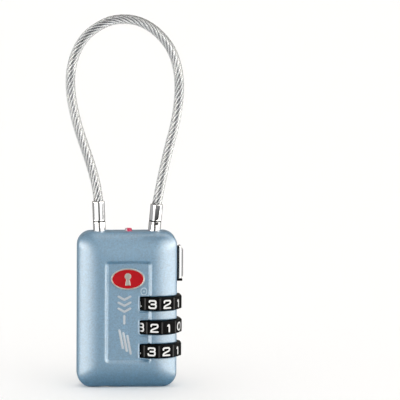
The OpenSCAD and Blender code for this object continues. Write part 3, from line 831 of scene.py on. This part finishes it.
def dial_mesh(zc, turn):
    """A wheel with ten flat-bottomed pads between raised ribs and soft rims."""
    half, soft, spread_steps = DIAL_T / 2, 0.34, 10
    rib_half = math.degrees(0.27 / PAD_R)
    shoulder = ((0.7, 1), (0.9, 0.88), (1.08, 0.12), (1.25, 0))
    rib = [(-o, lift) for o, lift in reversed(shoulder)] + [(0, 1)] + list(shoulder)
    gap = 36 - 2 * rib[-1][0] * rib_half
    angles = []
    for i in range(10):
        centre = 36 * (i + 0.5) + turn
        angles += [(centre + o * rib_half, lift) for o, lift in rib]
        angles += [(centre + rib[-1][0] * rib_half + gap * k / spread_steps, 0) for k in range(1, spread_steps)]
    corner = [(math.sin(math.radians(a)), math.cos(math.radians(a))) for a in (0, 22, 45, 67, 90)]
    # Each outline point is (radius, height, share of the rib's lift)
    outline = ([(SLEEVE_R, -half, 0), (6.6, -half, 0), (6.75, -half + 0.12, 0), (7.0, -half + 0.12, 0.3)]
               + [(PAD_R - soft + soft * sine, -half + soft - soft * cosine, 1) for sine, cosine in corner]
               + [(PAD_R, z, 1) for z in (-1.0, 0, 1.0)]
               + [(PAD_R - soft + soft * cosine, half - soft + soft * sine, 1) for sine, cosine in corner]
               + [(7.0, half - 0.12, 0.3), (6.75, half - 0.12, 0), (6.6, half, 0), (SLEEVE_R, half, 0)])
    points, faces = [], []
    n, m = len(outline), len(angles)
    for i, (angle, lift) in enumerate(angles):
        t, j = math.radians(angle), (i + 1) % m
        for k, (r, z, share) in enumerate(outline):
            radius, l = r + (DIAL_R - PAD_R) * lift * share, (k + 1) % n
            points.append((DIAL_X + radius * math.sin(t), -radius * math.cos(t), z + zc))
            faces.append((i * n + k, j * n + k, j * n + l, i * n + l))
    return np.array(points), faces


def make_dials():
    """Each wheel, and the ten raised digits around it."""
    plates = {}
    for digit, strokes in DIGITS.items():
        pen = stroke_field([chaikin(line, 3) for line in strokes], DIGIT_PEN)
        plates[digit] = cut_plate(pen, *DIGIT_BOX, 0.1)
    for index, (zc, turn) in enumerate(zip(DIAL_ZS, DIAL_TURNS), 1):
        body = f"dial_{index}"
        # Ribs sit half way between digits; digit n faces 90 - 36 n degrees from the front
        make_piece(f"wheel_{index}", dial_mesh(zc, 90 + turn), "dial_wheel", body, [body], "dial_black")
        raised = []
        for digit, plate in plates.items():
            middle = math.radians(90 - 36 * digit + turn)

            def place(p, height):
                t = middle + p[:, 0] / PAD_R
                r = PAD_R + height
                return np.stack([DIAL_X + r * np.sin(t), -r * np.cos(t), zc + p[:, 1]], 1)

            raised.append(plate_solid(plate, place, -0.03, 0.035, 0.015))
        make_piece(f"digits_{index}", join(raised), "digit_white", body, slot=None)


# ---- slider, indicator, badge and print

def slider_field(p):
    """The chrome cap, rounded across, and the neck that joins it to the carriage."""
    x, y, z = p[:, 0], p[:, 1], p[:, 2]
    round_part = np.hypot(x - CAP_IN, y) - (CAP_OUT - CAP_IN)
    profile = polygon_field([(CAP_IN, CAP_LOW), (CAP_OUT - 0.75, CAP_LOW + 0.15), (CAP_OUT, CAP_LOW + 0.95),
                             (CAP_OUT, CAP_HIGH - 1.5), (CAP_OUT - 0.95, CAP_HIGH),
                             (CAP_IN, CAP_HIGH)])(np.stack([x, z], 1))
    body = smooth_max(smooth_max(round_part, profile, 0.3), CAP_IN - x, 0.1)
    neck = np.maximum(rounded_rect(y, z - 38.25, 1.1, 2.75, 0.2), np.abs(x - 14.4) - 2.1)
    return np.minimum(body, neck)


def base_field(p):
    """The dark plastic foot that carries the chrome cap along the casing's edge."""
    x, y, z = p[:, 0], p[:, 1], p[:, 2]
    plan = rounded_rect(y, z - 38.85, 1.35, 5.5, 0.5)
    foot = smooth_max(plan, np.abs(x - BODY_W / 2 - 0.4) - 0.28, 0.1)
    toe = smooth_max(rounded_rect(x - BODY_W / 2 - 0.95, z - 33.66, 0.83, 0.32, 0.2), np.abs(y) - 1.25, 0.2)
    return smooth_min(foot, toe, 0.1)


def make_slider():
    """The cap and its foot, which slide along the casing's right edge."""
    step = 0.11
    ys, zs = lines(-2.2, 2.2, step), lines(32.9, 44.9, step)
    for name, field, low, high, finish, nodes in (
        ("slider_cap", slider_field, 11.9, 18.1, "chrome", ["slider_button"]),
        ("slider_base", base_field, 15.5, 17.7, "dial_black", ()),
    ):
        make_piece(name, surface_net(field, lines(low, high, step), ys, zs), finish, "slider", nodes)


def make_indicator():
    """The red pin, with the collar that keeps it in the casing."""
    r, low, collar, collar_r, top, soft = INDICATOR_R, 46.7, 47.4, 1.7, INDICATOR_TOP, 0.25
    profile = ([(0, low), (collar_r, low), (collar_r, collar), (r, collar), (r, top - soft)]
               + arc(r - soft, top - soft, soft, 0, 90, 6)[1:] + [(0.35, top), (0, top)])
    pin = lathe(profile, 56, lambda points: points + (INDICATOR_X, 0, 0))
    make_piece("indicator_pin", pin, "indicator_red", "indicator", ["alert_indicator"])


def on_panel(p, height):
    """Puts flat points on the floor of the front panel, raised by a height."""
    return np.stack([p[:, 0], -(HALF_T - PANEL_DEPTH) - height, p[:, 1]], 1)


def lay_plate(name, field, box, step, heights, material, slot, place=on_panel, replaces=(), flat=True):
    """A flat shape on the case, cut at heights of (bottom, top, how far its edge is eased)."""
    solid = plate_solid(cut_plate(field, *box, step), place, *heights)
    make_piece(name, solid, material, "case", replaces, slot, flat)


def ellipse_field(half_w, half_h):
    def field(q):
        level = np.hypot(q[:, 0] / half_w, q[:, 1] / half_h)
        slope = np.hypot(q[:, 0] / half_w ** 2, q[:, 1] / half_h ** 2) / np.maximum(level, 1e-6)
        return (level - 1) / np.maximum(slope, 1e-6)
    return field


def make_badge():
    """An oval badge: a metal rim and a keyhole around domed enamel."""
    half_w, half_h, under = BADGE_W / 2, BADGE_H / 2, -0.05
    box = (-half_w - 0.2, -half_h - 0.2), (half_w + 0.2, half_h + 0.2)
    step = 0.12
    outer = ellipse_field(half_w, half_h)

    def rim(q):
        return np.maximum(outer(q), -(outer(q) + BADGE_RIM))

    def enamel(q):
        return outer(q) + BADGE_RIM - 0.04

    def emblem(q):
        bulb = np.hypot(q[:, 0], q[:, 1] - 0.85) - 1.02
        skirt = polygon_field([(-0.34, 0.6), (0.34, 0.6), (0.88, -2.0), (-0.88, -2.0)])(q)
        return smooth_min(bulb, skirt, 0.08)

    def place(p, height):
        return on_panel(p + (0, BADGE_Z), height)

    def domed(p, height):
        return place(p, height + np.where(height > 0, 0.1 * (1 - np.exp(outer(p) / 0.8)), 0))

    lay_plate("badge_rim", rim, box, step, (under, BADGE_T, 0.07), "badge_metal", "chrome",
              place, ["front_badge"])
    lay_plate("badge_enamel_fill", enamel, box, step, (under, BADGE_T - 0.16), "badge_enamel", "badge_enamel",
              domed, flat=False)
    lay_plate("badge_emblem", emblem, box, step * 0.75, (0.1, BADGE_T - 0.01, 0.03), "badge_metal", "chrome",
              place)


def make_index_mark():
    """A thin raised ring with a dot, on the panel above the dials; its light tone is a painted highlight for its
    embossed edges.
    """
    x0, z0, ring_r, ring_half, dot_r, tall = 5.05, 30.7, 0.95, 0.13, 0.26, 1.15

    def mark(q):
        away = np.hypot(q[:, 0] - x0, (q[:, 1] - z0) / tall)
        return np.minimum(np.abs(away - ring_r) - ring_half, away - dot_r)

    lay_plate("index_mark", mark, ((3.4, 29.2), (6.1, 31.9)), 0.08, (-0.03, 0.1, 0.05),
              "mark_painted_highlight", "body_paint", flat=False)


def make_print():
    """A plain silver ornament on the panel: shallow chevrons above a fan of slanting bars."""
    paths = [[(-2.9, z + 0.5), (-1.05, z - 0.5), (0.8, z + 0.5)] for z in (28.6, 26.7, 24.8)]
    paths.append([(-1.05, 22.9), (-1.05, 20.6)])
    paths += [[(x, top), (x + 1.1, top - 5.6)] for x, top in ((-2.6, 18.4), (-1.35, 17.5), (-0.1, 16.6))]
    lay_plate("silver_motif", stroke_field(paths, 0.33), ((-3.6, 10.5), (1.6, 29.7)), 0.12,
              (-0.03, 0.05, 0.02), "silver_print", "steel")


# ---- springs

def make_spring(name, node, low, high, radius, wire, coils):
    """A compression spring with close end coils, from a seat in the case at low to a moving part at high."""
    low, high = np.array(low, float), np.array(high, float)
    span = np.linalg.norm(high - low)
    axis = (high - low) / span
    side = np.array([0.0, 1.0, 0.0])
    share = np.linspace(0, 1, coils * 20 + 1)
    turn = 2 * np.pi * coils * share
    outward = np.cos(turn)[:, None] * side + np.sin(turn)[:, None] * np.cross(axis, side)
    rise = wire / 2 + (span - wire) * (share - 0.08 * np.sin(2 * np.pi * share))
    path = low + rise[:, None] * axis + radius * outward
    across = np.cross(unit(np.gradient(path, axis=0)), outward)
    spring = make_piece(name, tube(path, outward, across, circle(10, wire / 2)), "spring_steel", None, [node])
    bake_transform(spring)


def make_springs():
    """Each from its seat to what it pushes, with its radius, wire and number of coils."""
    make_spring("spring_slider", "slider_spring", (-0.6, -3.5, 22), (-0.6, -3.5, 33.2), 0.6, 0.3, 8)
    make_spring("spring_latch", "latch_spring", (-4.8, 0, 43), (1.4, 0, 43), 0.75, 0.3, 6)
    make_spring("spring_indicator", "indicator_spring", (INDICATOR_X, 0, 44.9),
                (INDICATOR_X, 0, 46.7), 1.2, 0.25, 3)


make_cable()
make_covers()
make_posts()
make_dials()
make_slider()
make_indicator()
make_badge()
make_index_mark()
make_print()
make_springs()

# Every CAD part is steel, apart from these; the ones that no piece replaces show it
FINISH = {
    "inner_frame": "die_cast", "dial_sleeve_1": "brass", "dial_sleeve_2": "brass", "dial_sleeve_3": "brass",
    "click_spring": "spring_steel", "key_wafers": "brass",
}
for node_name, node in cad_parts.items():
    node.data.materials.clear()
    node.data.materials.append(MATERIALS[FINISH.get(node_name, "steel")])


# ---- studio

def stage_card(name, corners, material):
    """One square of the studio, which isn't part of the object."""
    mesh = bpy.data.meshes.new(name)
    mesh.from_pydata(corners, [], [(0, 1, 2, 3)])
    material.name = name
    mesh.materials.append(material)
    card = place_mesh(name, mesh)
    return card


def make_floor():
    made, tree, shader = start_material(Roughness=0.85)
    dress(shader, Base_Color=mix(tree, noise(tree, 6), (0.95, 0.955, 0.96), (0.965, 0.97, 0.975)))
    reach = 4.0
    corners = [(x * reach, y * reach, 0) for x, y in ((-1, -1), (1, -1), (1, 1), (-1, 1))]
    floor = stage_card("studio_floor", corners, made)
    floor.location.z = -0.00002
    floor.visible_glossy = False


def flag_material(low, high):
    """A one-sided card: a grey that changes up its height in front, nothing from behind."""
    bottom, top = 50, 60
    made, tree, shader = start_material(Roughness=1.0, Base_Color=(0, 0, 0, 1), Specular_IOR_Level=0.0,
                                        Emission_Strength=1.0)
    height = within(tree, split(tree, coords(tree))[2], bottom, top)
    dress(shader, Emission_Color=ramp(tree, height, [(0.0, low), (1.0, high)], "EASE"))
    behind = add(tree, "ShaderNodeNewGeometry").outputs["Backfacing"]
    clear = add(tree, "ShaderNodeBsdfTransparent").outputs[0]
    shown = add(tree, "ShaderNodeMixShader", {0: behind, 1: shader.outputs[0], 2: clear}).outputs[0]
    feed(tree.nodes["Material Output"].inputs["Surface"], shown)
    return made


def make_flags():
    """Three small cards that only the polished free post and slider mirror."""
    for name, corners, low, high in (
        ("flag_front", [(6.1, -8, 51.2), (6.8, -8, 60.0), (22.8, -8, 60.0), (22.2, -8, 50.2)], 0.05, 0.32),
        ("flag_slider", [(19, -1.6, 31.5), (19, -1.6, 46.5), (19, 3, 46.5), (19, 3, 31.5)], 0.3, 0.3),
        ("flag_side", [(1.75, 4, 49.3), (1.75, 4, 61.0), (1.75, -6, 61.0), (1.75, -6, 49.3)], 0.42, 0.5),
    ):
        flag = stage_card(name, [tuple(c * MM for c in p) for p in corners], flag_material(low, high))
        for kind in ("camera", "diffuse", "transmission", "shadow"):
            setattr(flag, f"visible_{kind}", False)


# Strengths: what matt surfaces see, the brightest box, the open backdrop, what the boxes keep overhead and
# below, and how much of the boxes the rope loses inside its jacket
SOFT_LIGHT, BOX_LIGHT, BACKDROP, OVERHEAD, UNDERFOOT, ROPE_DIM = 1.06, 6.1, 1.03, 0.065, 0.01, 0.44
NEUTRAL, WARM = (1.0, 0.985, 0.968), (1.0, 0.96, 0.89)
# What the gloss mirrors, by degrees around from the front: two broad side boxes, how far they dim overhead,
# and a narrow ring near the horizon for the chrome
BOXES = ((-180, 0.05), (-117, 0.05), (-97, 0.66), (-74, 1.0), (-36, 1.0), (-20, 0.11), (-10, 0.035),
         (12, 0.035), (19, 0.36), (32, 1.0), (101, 1.0), (117, 0.3), (130, 0.05), (180, 0.05))
DIMMED = ((-180, 1.0), (5, 1.0), (32, 0.58), (75, 0.58), (110, 1.0))
RING = ((-180, 0.3), (-118, 0.34), (-92, 0.42), (-86, 1.35), (-11, 1.3), (-8, 0.03), (15, 0.03), (18, 1.3),
        (110, 1.35), (117, 0.42), (135, 0.34), (180, 0.3))


def make_world():
    """Soft studio surround: bright at both sides, calmer in front and overhead, dim below."""
    world = bpy.data.worlds.new("studio")
    bpy.context.scene.world = world
    world.use_nodes = True
    world.cycles.sampling_method = "NONE"
    tree = world.node_tree
    tree.nodes.clear()
    x, y, z = split(tree, add(tree, "ShaderNodeTexCoord").outputs["Generated"])

    def both(a, b):
        return maths(tree, "MULTIPLY", a, b)

    def rest(a):
        return maths(tree, "SUBTRACT", 1.0, a)

    azimuth = maths(tree, "ARCTAN2", x, both(y, -1.0))
    around = maths(tree, "ADD", maths(tree, "DIVIDE", azimuth, 2 * math.pi), 0.5)
    boxes, ring, dimmed = (ramp(tree, around, [(degrees / 360 + 0.5, tone) for degrees, tone in stops])
                           for stops in (BOXES, RING, DIMMED))
    height = maths(tree, "ADD", both(z, 0.5), 0.5)
    near = ramp(tree, height, [(0.0, 0.0), (0.388, 0.0), (0.396, 1.0), (0.474, 1.0), (0.482, 0.0)])
    above = both(ramp(tree, height, [(0.0, 0.0), (0.58, 0.0), (0.73, 1.0)], "EASE"), dimmed)
    below = ramp(tree, height, [(0.0, 1.0), (0.27, 1.0), (0.385, 0.0)], "EASE")
    mirrored = both(blend(tree, below, blend(tree, above, boxes, OVERHEAD), UNDERFOOT), BOX_LIGHT)
    kind = add(tree, "ShaderNodeLightPath").outputs
    polished = maths(tree, "MINIMUM", kind["Glossy Depth"], 1.0)
    strength = blend(tree, polished, SOFT_LIGHT, blend(tree, near, mirrored, ring))
    # The rope is lit through its jacket, with softer boxes
    inner = both(kind["Is Transmission Ray"], polished)
    strength = both(strength, rest(both(inner, ROPE_DIM)))
    seen = maths(tree, "MAXIMUM", kind["Is Camera Ray"], both(kind["Is Transmission Ray"], rest(polished)))
    background = add(tree, "ShaderNodeBackground", {
        "Color": mix(tree, both(polished, rest(near)), NEUTRAL, WARM),
        "Strength": blend(tree, seen, strength, BACKDROP)})
    add(tree, "ShaderNodeOutputWorld", {0: background.outputs[0]})


make_floor()
make_flags()
make_world()
bpy.context.scene.view_settings.view_transform = "Standard"
